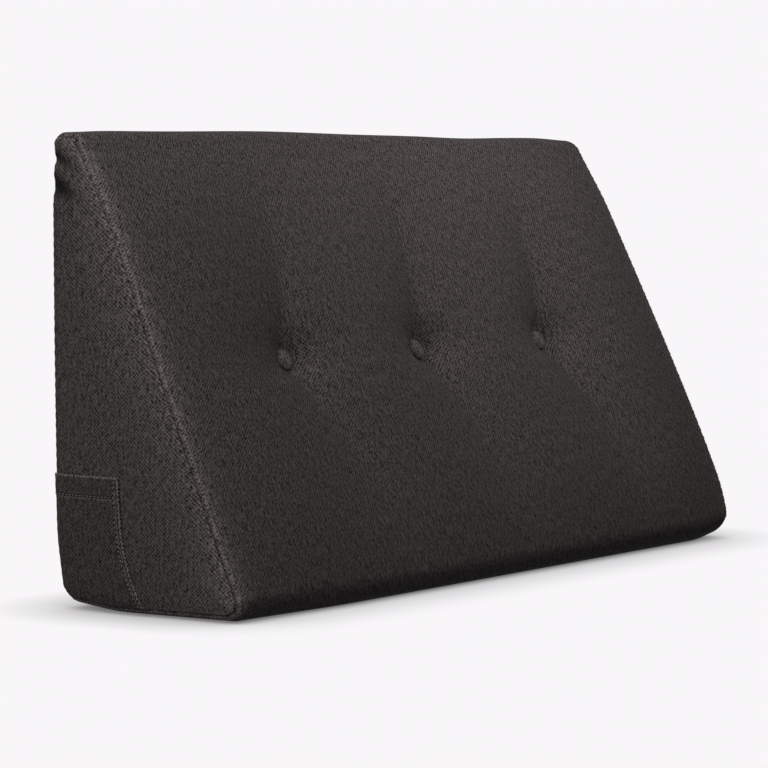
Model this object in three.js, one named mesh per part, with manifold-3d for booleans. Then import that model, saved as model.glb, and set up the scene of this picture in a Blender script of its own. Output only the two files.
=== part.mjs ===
// Wedge reading pillow: a foam wedge in a woven cover, standing on its flat base.
// Millimetres, +Z up, X along the width, the sloping face towards -Y.
// The origin is on the floor, under the middle of the outer box.

import * as THREE from 'three';
import * as BufferGeometryUtils from 'three/addons/utils/BufferGeometryUtils.js';
import Module from 'manifold-3d';

// Driving dimensions of the foam wedge
const WIDTH = 1000;
const DEPTH = 265;
const HEIGHT = 500;
const RIDGE_DEPTH = 32;

// Rounding of the wedge along its four long edges
const TOE_RADIUS = 20;
const HEEL_RADIUS = 22;
const RIDGE_FRONT_RADIUS = 20;
const RIDGE_BACK_RADIUS = 13;

// Crowns that the filling gives to the panels, and how far in from an edge they reach full height
const FRONT_CROWN = 6.5;
const BACK_CROWN = 3;
const SIDE_CROWN = 11;
const PANEL_FADE = 110;
const PANEL_MARGIN = 16;

// Below 1, a panel is full close up to its seams
const PANEL_FULLNESS = 0.7;
const SIDE_SHARE_AT_SEAMS = 0.15;
const BACK_SHARE_AT_ENDS = 0.4;
const BACK_CROWN_FROM = 0.23;

// A roll of filling along both ends of the slope, close inside the seams
const EDGE_ROLL = 3;
const EDGE_ROLL_REACH = 30;

// The slope as a whole bows outwards: high up at the left end, lower down at the right end
const BOW_LEFT = 9;
const BOW_RIGHT = 10;
const BOW_HEIGHT_LEFT = 0.8;
const BOW_HEIGHT_RIGHT = 0.3;
const BOW_ENDS_AT = 0.77;

// The corners, drawn in by the seams: how far each moves, and how far that reaches
const DRAWN_CORNERS = [
  { side: -1, end: 'toe', inward: 5, across: 9, upward: 1, reach: 220 },
  { side: 1, end: 'toe', inward: 8, across: 4, upward: 7, reach: 85 },
  { side: -1, end: 'heel', inward: 5, across: -2, upward: 6, reach: 90 },
  { side: 1, end: 'heel', inward: 6, across: -3, upward: 4, reach: 100 },
  { side: -1, end: 'ridge', inward: 3, across: 0, upward: -2, reach: 80 },
  { side: 1, end: 'ridge', inward: 10, across: 0, upward: -3, reach: 110 },
];

// The ridge is a little high left of the middle and sags towards the right
const RIDGE_WAVES = [
  { at: 0.34, rise: 2.4, spread: 0.14 },
  { at: 0.74, rise: -1.9, spread: 0.08 },
];
const RIDGE_WAVE_REACH = 90;

// Covered buttons, in one row across the slope
const BUTTON_ROW = 265;
const BUTTON_RADIUS = 12.5;
const BUTTON_RIM = 3;
const BUTTON_DOME = 5;
const BUTTON_CHAMFER = 1;
const BUTTON_SUNK = 2.5;
const BUTTON_SEGMENTS = 24;
const DOME_ANGLES = [20, 38, 54, 68, 80];
const SEAT_CLEARANCE = 20;

// Where each button sits along the width, and the reach to each side of the valley it pulls in
const TUFTS = [
  { share: 0.231, depth: 20, reachLeft: 206, reachRight: 125 },
  { share: 0.479, depth: 21, reachLeft: 125, reachRight: 125 },
  { share: 0.736, depth: 22, reachLeft: 125, reachRight: 144 },
];
const TUFT_FULLNESS = 2.2;

// The valleys run on up and down from the buttons as creases that lean to the right and fade
const LEAN_ABOVE = 0.18;
const LEAN_BELOW = 0.4;
const FADE_ABOVE = 129;
const FADE_BELOW = 150;
const CREASE_ROUND = 6;
const ROW_ROUND = 6;

// Close to each button the creases dip once more
const DIMPLE_DEPTH = 10;
const DIMPLE_FADE_ALONG = 26;
const DIMPLE_FADE_ACROSS = 15;
const DIMPLE_ROUND = 2;

// Pinch folds across both side panels, close under the ridge
const PINCH_FOLDS = [
  { height: 473, depth: 5, spread: 6, droop: 0.45 },
  { height: 444, depth: 3.6, spread: 9, droop: 0.45 },
];
const PINCH_FOLD_REACH = 62;
const PINCH_SHARE_AT_SLOPE = 0.4;

// Depth of the seams between the side panels and the long panel that wraps round the foam
const SEAM_DEPTH = 1.6;

// Patch pocket on the left side panel, caught in its back and bottom seams
const POCKET_HEIGHT = 143;
const POCKET_FRONT_EDGE = [
  { height: 0, fromBack: 128 },
  { height: 40, fromBack: 112 },
  { height: 64, fromBack: 105.5 },
  { height: 85, fromBack: 102 },
  { height: 143, fromBack: 99 },
];
const POCKET_CLOTH = 1.6;
const POCKET_HEM = 21;
const POCKET_HEM_CLOTH = 2.4;
const POCKET_HEM_STEP = 1;
const POCKET_COLUMNS = 6;
const POCKET_PLAIN_HEIGHTS = [40, 64, 88, 105];

// Gap between pieces that lie on each other
const GAP = 0.35;

// Turns of the rounding at the grid's lines, in degrees; the panels meet at the last
const ROUNDING_TURNS = [18, 40.5, 45];

// Grid lines across the width, to both sides of each button, and down the slope
const TUFT_STATIONS = [0, 14, 30, 52, 85];
const SLOPE_STATIONS = [
  25, 30, 36, 42, 48, 55, 62, 70, 80, 105, 135, 165, 195, 220, 239, 253, 265,
  277, 291, 309, 332, 362, 400, 440, 480, 515,
];
const DEPTH_STEPS = 7;
const LEAST_SHARE = 0.01;
const SAME_PLACE = 0.001;

const CLOTH_COLOUR = 0x4b4644;
const BUTTON_COLOUR = 0x47423f;
const CLOTH_ROUGHNESS = 0.95;

// Outward directions of the six panels, and how far each lies from the origin
const slopeLength = Math.hypot(HEIGHT, DEPTH - RIDGE_DEPTH);
const slopeNormal = new THREE.Vector3(0, -HEIGHT, DEPTH - RIDGE_DEPTH).divideScalar(slopeLength);
const slopeDown = new THREE.Vector3(0, RIDGE_DEPTH - DEPTH, -HEIGHT).divideScalar(slopeLength);
const ridgeFront = new THREE.Vector3(0, DEPTH / 2 - RIDGE_DEPTH, HEIGHT);
const PANELS = {
  left: { normal: new THREE.Vector3(-1, 0, 0), distance: WIDTH / 2 },
  right: { normal: new THREE.Vector3(1, 0, 0), distance: WIDTH / 2 },
  base: { normal: new THREE.Vector3(0, 0, -1), distance: 0 },
  top: { normal: new THREE.Vector3(0, 0, 1), distance: HEIGHT },
  back: { normal: new THREE.Vector3(0, 1, 0), distance: DEPTH / 2 },
  front: { normal: slopeNormal, distance: slopeNormal.dot(ridgeFront) },
};
const EDGE_RADII = {
  'front base': TOE_RADIUS,
  'back base': HEEL_RADIUS,
  'front top': RIDGE_FRONT_RADIUS,
  'back top': RIDGE_BACK_RADIUS,
};
const CORNER_TIPS = {
  toe: new THREE.Vector3(0, -DEPTH / 2, 0),
  heel: new THREE.Vector3(0, DEPTH / 2, 0),
  ridge: new THREE.Vector3(0, DEPTH / 2 - RIDGE_DEPTH / 2, HEIGHT),
};

// The centre of the rounding ball in the corner of three panels
function cornerBall(side, face, level) {
  const radius = EDGE_RADII[`${face} ${level}`];
  const rows = [side, face, level].map((name) => PANELS[name].normal);
  const offsets = [side, face, level].map((name) => PANELS[name].distance - radius);
  const matrix = new THREE.Matrix3().set(
    rows[0].x, rows[0].y, rows[0].z,
    rows[1].x, rows[1].y, rows[1].z,
    rows[2].x, rows[2].y, rows[2].z,
  ).invert();
  const centre = new THREE.Vector3(offsets[0], offsets[1], offsets[2]).applyMatrix3(matrix);
  return { centre, radius };
}

const corners = {};
for (const side of ['left', 'right']) {
  for (const face of ['front', 'back']) {
    for (const level of ['base', 'top']) {
      corners[`${side} ${face} ${level}`] = cornerBall(side, face, level);
    }
  }
}

// One axis of the grid: the share along it, and how far the surface has turned to a neighbour
const turnTangents = ROUNDING_TURNS.map((degrees) => Math.tan(THREE.MathUtils.degToRad(degrees)));
const seamTangent = turnTangents.at(-1);

function gridAxis(shares) {
  const before = turnTangents.map((turn) => ({ share: 0, turn: -turn })).reverse();
  const after = turnTangents.map((turn) => ({ share: 1, turn }));
  return [...before, ...shares.map((share) => ({ share, turn: 0 })), ...after];
}

function widthShares() {
  const inset = (TOE_RADIUS + RIDGE_FRONT_RADIUS) / 2;
  const anchors = [0, ...TUFTS.map((tuft) => tuft.share * WIDTH), WIDTH];
  const stations = [];
  anchors.slice(1).forEach((to, index) => {
    const from = anchors[index];
    stations.push(...TUFT_STATIONS.map((offset) => from + offset));
    stations.push((from + to) / 2);
    stations.push(...TUFT_STATIONS.slice(1).reverse().map((offset) => to - offset));
  });
  const shares = stations.map((station) => (station - inset) / (WIDTH - 2 * inset));
  const inner = shares.filter((share) => share > LEAST_SHARE && share < 1 - LEAST_SHARE);
  return [0, ...inner, 1];
}

function slopeShares() {
  const foot = corners['left front base'];
  const head = corners['left front top'];
  const lowest = foot.centre.clone().addScaledVector(slopeNormal, foot.radius);
  const highest = head.centre.clone().addScaledVector(slopeNormal, head.radius);
  const from = lowest.sub(ridgeFront).dot(slopeDown);
  const to = highest.sub(ridgeFront).dot(slopeDown);
  const shares = SLOPE_STATIONS.map((station) => (from - station) / (from - to));
  return [0, ...shares.reverse(), 1];
}

function evenShares(steps) {
  return Array.from({ length: steps + 1 }, (empty, index) => index / steps);
}

const AXES = {
  width: { names: ['left', 'right'], lines: gridAxis(widthShares()) },
  depth: { names: ['front', 'back'], lines: gridAxis(evenShares(DEPTH_STEPS)) },
  height: { names: ['base', 'top'], lines: gridAxis(slopeShares()) },
};

function cornerName(panel, first, firstEnd, second, secondEnd) {
  const chosen = {};
  for (const [axis, { names }] of Object.entries(AXES)) {
    if (names.includes(panel)) {
      chosen[axis] = panel;
    }
  }
  chosen[first] = AXES[first].names[firstEnd];
  chosen[second] = AXES[second].names[secondEnd];
  return `${chosen.width} ${chosen.depth} ${chosen.height}`;
}

// A point of the rounded wedge on one panel, with its outward direction
function wedgePoint(panel, first, firstLine, second, secondLine) {
  const centre = new THREE.Vector3();
  let radius = 0;
  for (const firstEnd of [0, 1]) {
    for (const secondEnd of [0, 1]) {
      const firstShare = firstEnd ? firstLine.share : 1 - firstLine.share;
      const secondShare = secondEnd ? secondLine.share : 1 - secondLine.share;
      const corner = corners[cornerName(panel, first, firstEnd, second, secondEnd)];
      centre.addScaledVector(corner.centre, firstShare * secondShare);
      radius += corner.radius * firstShare * secondShare;
    }
  }
  const outward = PANELS[panel].normal.clone();
  for (const [axis, line] of [[first, firstLine], [second, secondLine]]) {
    const neighbour = AXES[axis].names[line.turn < 0 ? 0 : 1];
    outward.addScaledVector(PANELS[neighbour].normal, Math.abs(line.turn));
  }
  outward.normalize();
  return { place: centre.addScaledVector(outward, radius), outward };
}

function smooth(value) {
  const share = THREE.MathUtils.clamp(value, 0, 1);
  return share * share * (3 - 2 * share);
}

function bell(distance, spread) {
  return Math.exp(-((distance / spread) ** 2));
}

// A distance that starts gently over the given length, then runs straight
function eased(distance, length) {
  return Math.hypot(distance, length) - length;
}

function heightShare(place) {
  return THREE.MathUtils.clamp(place.z / HEIGHT, 0, 1);
}

// How far a place is through the wedge, 0 at the slope and 1 at the back
function throughDepth(place) {
  const slopeY = -DEPTH / 2 + (DEPTH - RIDGE_DEPTH) * heightShare(place);
  return THREE.MathUtils.clamp((place.y - slopeY) / (DEPTH / 2 - slopeY), 0, 1);
}

// How deep one button draws the cloth in, at a distance across and down the slope from it
function tuftDepth(tuft, across, along) {
  const above = along < 0;
  const fromRow = eased(Math.max(0, Math.abs(along) - BUTTON_RADIUS), ROW_ROUND);
  const aside = across - (above ? LEAN_ABOVE : LEAN_BELOW) * fromRow;
  const fromCrease = Math.abs(aside);
  const fromRim = Math.hypot(aside, along) - BUTTON_RADIUS;
  const nearest = (fromCrease + fromRim - Math.hypot(fromCrease - fromRim, CREASE_ROUND)) / 2;
  const reach = aside < 0 ? tuft.reachLeft : tuft.reachRight;
  const flank = THREE.MathUtils.clamp(1 - nearest / reach, 0, 1) ** TUFT_FULLNESS;
  const valley = tuft.depth * Math.exp(-fromRow / (above ? FADE_ABOVE : FADE_BELOW)) * flank;
  const beside = eased(Math.max(0, nearest), DIMPLE_ROUND);
  return valley + DIMPLE_DEPTH * Math.exp(-fromRow / DIMPLE_FADE_ALONG - beside / DIMPLE_FADE_ACROSS);
}

// Height of the cloth over the flat slope: its crown and end rolls, less what the buttons draw in
function frontRelief(x, down) {
  const fromSeam = WIDTH / 2 - PANEL_MARGIN - Math.abs(x);
  const fromSides = smooth(fromSeam / PANEL_FADE);
  const rolled = smooth(fromSeam / EDGE_ROLL_REACH);
  const fromTop = smooth((down - PANEL_MARGIN) / PANEL_FADE);
  const fromBottom = smooth((slopeLength - PANEL_MARGIN - down) / PANEL_FADE);
  let relief = (FRONT_CROWN * fromSides + EDGE_ROLL * rolled) * Math.sqrt(fromTop * fromBottom);
  for (const tuft of TUFTS) {
    const across = x - (tuft.share - 0.5) * WIDTH;
    relief -= tuftDepth(tuft, across, down - BUTTON_ROW) * rolled * fromTop * fromBottom;
  }
  return relief;
}

function bowSlope(place) {
  const along = THREE.MathUtils.clamp(place.x / WIDTH + 0.5, 0, 1);
  const peak = THREE.MathUtils.lerp(BOW_HEIGHT_LEFT, BOW_HEIGHT_RIGHT, along);
  const hump = Math.sin(Math.PI * heightShare(place) ** (Math.log(0.5) / Math.log(peak)));
  const share = Math.max(0, 1 - throughDepth(place) / BOW_ENDS_AT);
  place.addScaledVector(slopeNormal, THREE.MathUtils.lerp(BOW_LEFT, BOW_RIGHT, along) * hump * share);
}

// The back and the side panels swell between their seams, a side panel most where it is deepest
function swellPanels(place) {
  const level = heightShare(place);
  const swell = Math.sin(Math.PI * level) ** PANEL_FULLNESS;
  const through = throughDepth(place);
  const fromEnd = WIDTH / 2 - Math.abs(place.x);
  const ends = THREE.MathUtils.lerp(BACK_SHARE_AT_ENDS, 1, smooth(fromEnd / PANEL_FADE));
  const backShare = Math.max(0, (through - BACK_CROWN_FROM) / (1 - BACK_CROWN_FROM));
  place.y += BACK_CROWN * swell * backShare * ends;
  const deep = 1 - level * (1 - RIDGE_DEPTH / DEPTH);
  const across = THREE.MathUtils.lerp(SIDE_SHARE_AT_SEAMS, 1, 4 * through * (1 - through));
  const nearEnd = smooth(1 - fromEnd / PANEL_FADE);
  place.x += Math.sign(place.x) * SIDE_CROWN * deep * swell * across * nearEnd;
}

function pinchSides(place) {
  const fromBack = DEPTH / 2 - place.y;
  const nearEnd = smooth(1 - (WIDTH / 2 - Math.abs(place.x)) / PINCH_FOLD_REACH);
  const nearBack = smooth(1 - fromBack / PINCH_FOLD_REACH);
  const share = THREE.MathUtils.lerp(PINCH_SHARE_AT_SLOPE, 1, throughDepth(place)) * nearEnd * nearBack;
  for (const fold of PINCH_FOLDS) {
    const line = fold.height - fold.droop * Math.min(fromBack, PINCH_FOLD_REACH);
    place.x -= Math.sign(place.x) * fold.depth * bell(place.z - line, fold.spread) * share;
  }
}

function waveRidge(place) {
  const along = place.x / WIDTH + 0.5;
  const share = smooth(1 - (HEIGHT - place.z) / RIDGE_WAVE_REACH);
  for (const wave of RIDGE_WAVES) {
    place.z += wave.rise * bell(along - wave.at, wave.spread) * share;
  }
}

function drawInCorners(place) {
  const original = place.clone();
  for (const corner of DRAWN_CORNERS) {
    const tip = CORNER_TIPS[corner.end].clone();
    tip.x = corner.side * WIDTH / 2;
    const pull = smooth(1 - original.distanceTo(tip) / corner.reach);
    place.x -= corner.side * corner.inward * pull;
    place.y += corner.across * pull;
    place.z += corner.upward * pull;
  }
}

// All the soft forms together, on a point of the rounded wedge
function soften(panel, place) {
  const soft = place.clone();
  if (panel === 'front') {
    const down = place.clone().sub(ridgeFront).dot(slopeDown);
    soft.addScaledVector(slopeNormal, frontRelief(place.x, down));
  }
  bowSlope(soft);
  swellPanels(soft);
  pinchSides(soft);
  waveRidge(soft);
  drawInCorners(soft);
  return soft;
}

// Points of one panel, in rows along its first axis; the seams of the side panels lie sunk
function panelGrid(panel, first, second) {
  const onSide = panel === 'left' || panel === 'right';
  const rows = [];
  for (const firstLine of AXES[first].lines) {
    const row = [];
    for (const secondLine of AXES[second].lines) {
      const { place, outward } = wedgePoint(panel, first, firstLine, second, secondLine);
      const soft = soften(panel, place);
      const firstSeam = Math.abs(firstLine.turn) === seamTangent && (onSide || first === 'width');
      const secondSeam = Math.abs(secondLine.turn) === seamTangent && onSide;
      if (firstSeam || secondSeam) {
        soft.addScaledVector(outward, -SEAM_DEPTH);
      }
      row.push(soft);
    }
    rows.push(row);
  }
  return rows;
}

function addQuads(positions, rows, flip) {
  const order = flip ? [0, 2, 1, 0, 3, 2] : [0, 1, 2, 0, 2, 3];
  for (let i = 0; i + 1 < rows.length; i += 1) {
    for (let j = 0; j + 1 < rows[i].length; j += 1) {
      const quad = [rows[i][j], rows[i + 1][j], rows[i + 1][j + 1], rows[i][j + 1]];
      for (const index of order) {
        positions.push(quad[index].x, quad[index].y, quad[index].z);
      }
    }
  }
}

function geometryOf(positions) {
  const geometry = new THREE.BufferGeometry();
  geometry.setAttribute('position', new THREE.Float32BufferAttribute(positions, 3));
  return BufferGeometryUtils.mergeVertices(geometry, SAME_PLACE);
}

// The filled wedge before the buttons are seated in it
function wedgeGeometry() {
  const positions = [];
  addQuads(positions, panelGrid('front', 'width', 'height'), false);
  addQuads(positions, panelGrid('back', 'width', 'height'), true);
  addQuads(positions, panelGrid('base', 'width', 'depth'), true);
  addQuads(positions, panelGrid('top', 'width', 'depth'), false);
  addQuads(positions, panelGrid('left', 'depth', 'height'), true);
  addQuads(positions, panelGrid('right', 'depth', 'height'), false);
  return geometryOf(positions);
}

// Where a button's flat back lies, a little sunk in the bottom of its valley
function buttonSeat(tuft) {
  const flat = ridgeFront.clone().addScaledVector(slopeDown, BUTTON_ROW);
  flat.x = (tuft.share - 0.5) * WIDTH;
  return soften('front', flat).addScaledVector(slopeNormal, -BUTTON_SUNK);
}

// A turned solid that stands on the slope, from its outline as [radius, height] pairs
function turnedOnSlope(outline) {
  const points = outline.map(([radius, height]) => new THREE.Vector2(radius, height));
  const lathe = new THREE.LatheGeometry(points, BUTTON_SEGMENTS);
  const turn = new THREE.Quaternion().setFromUnitVectors(new THREE.Vector3(0, 1, 0), slopeNormal);
  return lathe.applyQuaternion(turn);
}

function buttonGeometry() {
  const outline = [[0, 0], [BUTTON_RADIUS - BUTTON_CHAMFER, 0]];
  outline.push([BUTTON_RADIUS, BUTTON_CHAMFER], [BUTTON_RADIUS, BUTTON_RIM]);
  for (const degrees of DOME_ANGLES) {
    const angle = THREE.MathUtils.degToRad(degrees);
    outline.push([BUTTON_RADIUS * Math.cos(angle), BUTTON_RIM + BUTTON_DOME * Math.sin(angle)]);
  }
  outline.push([0, BUTTON_RIM + BUTTON_DOME]);
  return turnedOnSlope(outline);
}

// What a button presses out of the cloth, a gap larger than the button all round
function seatGeometry(tuft) {
  const radius = BUTTON_RADIUS + GAP;
  const seat = buttonSeat(tuft);
  const outline = [[0, -GAP], [radius, -GAP], [radius, SEAT_CLEARANCE], [0, SEAT_CLEARANCE]];
  return turnedOnSlope(outline).translate(seat.x, seat.y, seat.z);
}

const wasm = await Module();
wasm.setup();

function solidOf(geometry) {
  const bare = geometry.clone();
  bare.deleteAttribute('normal');
  bare.deleteAttribute('uv');
  const merged = BufferGeometryUtils.mergeVertices(bare, SAME_PLACE);
  const mesh = new wasm.Mesh({
    numProp: 3,
    vertProperties: new Float32Array(merged.attributes.position.array),
    triVerts: new Uint32Array(merged.index.array),
  });
  return new wasm.Manifold(mesh);
}

function geometryOfSolid(solid) {
  const mesh = solid.getMesh();
  const geometry = new THREE.BufferGeometry();
  geometry.setAttribute('position', new THREE.BufferAttribute(mesh.vertProperties, 3));
  geometry.setIndex(new THREE.BufferAttribute(mesh.triVerts, 1));
  geometry.computeVertexNormals();
  return geometry;
}

function cushionGeometry() {
  let cushion = solidOf(wedgeGeometry());
  for (const tuft of TUFTS) {
    cushion = cushion.subtract(solidOf(seatGeometry(tuft)));
  }
  return geometryOfSolid(cushion);
}

// The pocket's front edge, as a distance from the back of the pillow
function pocketFrontEdge(height) {
  let { fromBack } = POCKET_FRONT_EDGE[0];
  for (let index = 1; index < POCKET_FRONT_EDGE.length; index += 1) {
    const below = POCKET_FRONT_EDGE[index - 1];
    const above = POCKET_FRONT_EDGE[index];
    const share = THREE.MathUtils.clamp((height - below.height) / (above.height - below.height), 0, 1);
    fromBack += (above.fromBack - below.fromBack) * share;
  }
  return fromBack;
}

// Lines of the pocket's grid, from the bottom seam up to the open top edge
function pocketRows() {
  const foot = corners['left back base'];
  const head = corners['left back top'];
  const hemLine = POCKET_HEIGHT - POCKET_HEM;
  const heights = [foot.radius, ...POCKET_PLAIN_HEIGHTS, hemLine, hemLine + POCKET_HEM_STEP, POCKET_HEIGHT];
  const inSeam = turnTangents.slice(0, -1).map((turn) => ({ share: 0, turn: -turn, height: foot.radius }));
  const onPanel = heights.map((height) => {
    const share = (height - foot.centre.z) / (head.centre.z - foot.centre.z);
    return { share, turn: 0, height };
  });
  return [...inSeam.reverse(), ...onPanel];
}

// Lines across the pocket at one height, from its front edge into the back seam
function pocketColumns(row) {
  const front = corners['left front base'].centre.clone().lerp(corners['left front top'].centre, row.share);
  const back = corners['left back base'].centre.clone().lerp(corners['left back top'].centre, row.share);
  const edgeY = DEPTH / 2 - pocketFrontEdge(row.height);
  const edgeShare = (edgeY - front.y) / (back.y - front.y);
  const onPanel = evenShares(POCKET_COLUMNS).map((share) => {
    return { share: THREE.MathUtils.lerp(edgeShare, 1, share), turn: 0 };
  });
  const inSeam = turnTangents.slice(0, -1).map((turn) => ({ share: 1, turn }));
  return [...onPanel, ...inSeam];
}

// A point over the left panel, under or on the pocket
function pocketPlace(column, row, lift) {
  const { place, outward } = wedgePoint('left', 'depth', column, 'height', row);
  return soften('left', place).addScaledVector(outward, lift);
}

// A closed sheet between two grids of points
function slabGeometry(inner, outer) {
  const positions = [];
  addQuads(positions, inner, true);
  addQuads(positions, outer, false);
  addQuads(positions, [inner[0], outer[0]], false);
  addQuads(positions, [inner.at(-1), outer.at(-1)], true);
  addQuads(positions, [inner.map((row) => row[0]), outer.map((row) => row[0])], true);
  addQuads(positions, [inner.map((row) => row.at(-1)), outer.map((row) => row.at(-1))], false);
  return geometryOf(positions);
}

function pocketGeometry() {
  const inner = [];
  const outer = [];
  for (const row of pocketRows()) {
    const columns = pocketColumns(row);
    const thick = row.height > POCKET_HEIGHT - POCKET_HEM ? POCKET_HEM_CLOTH : POCKET_CLOTH;
    inner.push(columns.map((column) => pocketPlace(column, row, GAP)));
    outer.push(columns.map((column) => pocketPlace(column, row, GAP + thick)));
  }
  return slabGeometry(inner, outer);
}

function clothMaterial(colour) {
  return new THREE.MeshStandardMaterial({ color: colour, roughness: CLOTH_ROUGHNESS, metalness: 0 });
}

const group = new THREE.Group();

const cushion = new THREE.Mesh(cushionGeometry(), clothMaterial(CLOTH_COLOUR));
cushion.name = 'wedge_cushion';
group.add(cushion);

const pocket = new THREE.Mesh(pocketGeometry(), clothMaterial(CLOTH_COLOUR));
pocket.name = 'side_pocket';
group.add(pocket);

TUFTS.forEach((tuft, index) => {
  const button = new THREE.Mesh(buttonGeometry(), clothMaterial(BUTTON_COLOUR));
  button.name = `button_${index + 1}`;
  button.position.copy(buttonSeat(tuft));
  group.add(button);
});

const box = new THREE.Box3().setFromObject(group);
const middle = box.getCenter(new THREE.Vector3());
group.position.set(-middle.x, -middle.y, 0);

export default group;
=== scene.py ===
"""Wedge reading pillow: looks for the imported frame. Metres, +Z up, the sloping face towards -Y."""
import math

import bmesh
import bpy
import numpy as np
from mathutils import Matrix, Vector
from mathutils.bvhtree import BVHTree
from mathutils.kdtree import KDTree


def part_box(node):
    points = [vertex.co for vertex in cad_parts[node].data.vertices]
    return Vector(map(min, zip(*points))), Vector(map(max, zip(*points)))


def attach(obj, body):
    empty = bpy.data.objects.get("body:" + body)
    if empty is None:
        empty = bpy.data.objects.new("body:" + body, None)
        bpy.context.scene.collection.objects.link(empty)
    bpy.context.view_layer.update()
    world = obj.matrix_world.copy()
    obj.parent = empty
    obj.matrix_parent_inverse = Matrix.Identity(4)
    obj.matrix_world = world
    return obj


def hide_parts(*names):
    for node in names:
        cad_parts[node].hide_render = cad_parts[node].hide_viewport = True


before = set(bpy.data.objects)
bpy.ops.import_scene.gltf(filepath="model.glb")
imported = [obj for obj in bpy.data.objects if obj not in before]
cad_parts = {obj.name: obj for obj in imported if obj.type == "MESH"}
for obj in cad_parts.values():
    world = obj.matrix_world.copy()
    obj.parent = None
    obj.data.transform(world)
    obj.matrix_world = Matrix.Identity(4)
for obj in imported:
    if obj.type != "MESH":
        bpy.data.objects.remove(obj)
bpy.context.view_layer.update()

# The filled wedge: a foam block, a right-angled wedge in section, in a sewn cover of
# linen-look upholstery cloth. One long panel wraps round it and a side panel closes each
# end, so the only seams run round the two sides. Three buttons draw the slope in.
WIDTH, DEPTH, HEIGHT, RIDGE_DEPTH = 1.0, 0.265, 0.5, 0.032
EDGE_RADII = {"front base": 0.020, "back base": 0.022, "front top": 0.020, "back top": 0.013}
FRONT_CROWN, BACK_CROWN, SIDE_CROWN = 0.0065, 0.003, 0.011
BOW_LEFT, BOW_RIGHT = 0.009, 0.010
BOW_HEIGHT_LEFT, BOW_HEIGHT_RIGHT = 0.80, 0.30
PANEL_FADE, PANEL_MARGIN = 0.110, 0.016
DRAWN_CORNERS = [
    {"side": -1, "end": "toe", "inward": 0.005, "across": 0.009, "upward": 0.001, "reach": 0.220},
    {"side": 1, "end": "toe", "inward": 0.008, "across": 0.004, "upward": 0.007, "reach": 0.085},
    {"side": -1, "end": "heel", "inward": 0.005, "across": -0.002, "upward": 0.006, "reach": 0.090},
    {"side": 1, "end": "heel", "inward": 0.006, "across": -0.003, "upward": 0.004, "reach": 0.100},
    {"side": -1, "end": "ridge", "inward": 0.003, "across": 0.0, "upward": -0.002, "reach": 0.080},
    {"side": 1, "end": "ridge", "inward": 0.010, "across": 0.0, "upward": -0.003, "reach": 0.110},
]
RIDGE_WAVES = [{"at": 0.34, "rise": 0.0024, "spread": 0.14}, {"at": 0.74, "rise": -0.0019, "spread": 0.08}]
RIDGE_WAVE_REACH = 0.090
BUTTON_SHARES = [0.231, 0.479, 0.736]
BUTTON_ROW, BUTTON_RADIUS, BUTTON_SUNK = 0.265, 0.0125, 0.0025
EDGE_ROLL, EDGE_ROLL_REACH = 0.003, 0.030
TUFT_DEPTHS, TUFT_REACH = [0.020, 0.021, 0.022], [(0.206, 0.125), (0.125, 0.125), (0.125, 0.144)]
TUFT_FULLNESS, CREASE_ROUND, ROW_ROUND = 2.2, 0.006, 0.006
FADE_ABOVE, FADE_BELOW, LEAN_ABOVE, LEAN_BELOW = 0.129, 0.150, 0.18, 0.40
DIMPLE_DEPTH, DIMPLE_FADE_ALONG, DIMPLE_FADE_ACROSS, DIMPLE_ROUND = 0.010, 0.026, 0.015, 0.002
PINCH_FOLDS = [
    {"height": 0.473, "depth": 0.0050, "spread": 0.006, "droop": 0.45},
    {"height": 0.444, "depth": 0.0036, "spread": 0.009, "droop": 0.45},
]
PINCH_FOLD_REACH = 0.062
ROUNDING_TURNS = [8, 16, 24, 32, 39, 45]

slope_length = math.hypot(HEIGHT, DEPTH - RIDGE_DEPTH)
slope_normal = np.array([0, -HEIGHT, DEPTH - RIDGE_DEPTH]) / slope_length
slope_down = np.array([0, RIDGE_DEPTH - DEPTH, -HEIGHT]) / slope_length
ridge_front = np.array([0, DEPTH / 2 - RIDGE_DEPTH, HEIGHT])
PANEL_FACING = {
    "left": (np.array([-1.0, 0, 0]), WIDTH / 2),
    "right": (np.array([1.0, 0, 0]), WIDTH / 2),
    "base": (np.array([0, 0, -1.0]), 0.0),
    "top": (np.array([0, 0, 1.0]), HEIGHT),
    "back": (np.array([0, 1.0, 0]), DEPTH / 2),
    "front": (slope_normal, slope_normal @ ridge_front),
}
AXIS_ENDS = {"width": ("left", "right"), "depth": ("front", "back"), "height": ("base", "top")}


def corner_ball(side, face, level):
    """Centre and radius of the rounding in the corner of three panels."""
    radius = EDGE_RADII[f"{face} {level}"]
    normals = np.array([PANEL_FACING[name][0] for name in (side, face, level)])
    offsets = np.array([PANEL_FACING[name][1] - radius for name in (side, face, level)])
    return np.linalg.solve(normals, offsets), radius


CORNERS = {
    (side, face, level): corner_ball(side, face, level)
    for side in AXIS_ENDS["width"]
    for face in AXIS_ENDS["depth"]
    for level in AXIS_ENDS["height"]
}


def spread_stations(start, end, coarse, fine, dense_at, reach):
    """Stations from start to end, a fine step apart near each place in dense_at."""
    stations = [start]
    while stations[-1] < end:
        near = min(abs(stations[-1] - place) for place in dense_at)
        share = min(1.0, max(0.0, (near - reach) / reach))
        stations.append(stations[-1] + fine + (coarse - fine) * share)
    stations = np.array(stations)
    return (stations - start) / (stations[-1] - start)


def axis_lines(shares):
    """Grid lines of one axis: the share along it, and the turn round each end's rounding."""
    turns = [math.tan(math.radians(turn)) for turn in ROUNDING_TURNS]
    before = [(0.0, -turn) for turn in reversed(turns)]
    after = [(1.0, turn) for turn in turns]
    return np.array(before + [(share, 0.0) for share in shares] + after)


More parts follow.
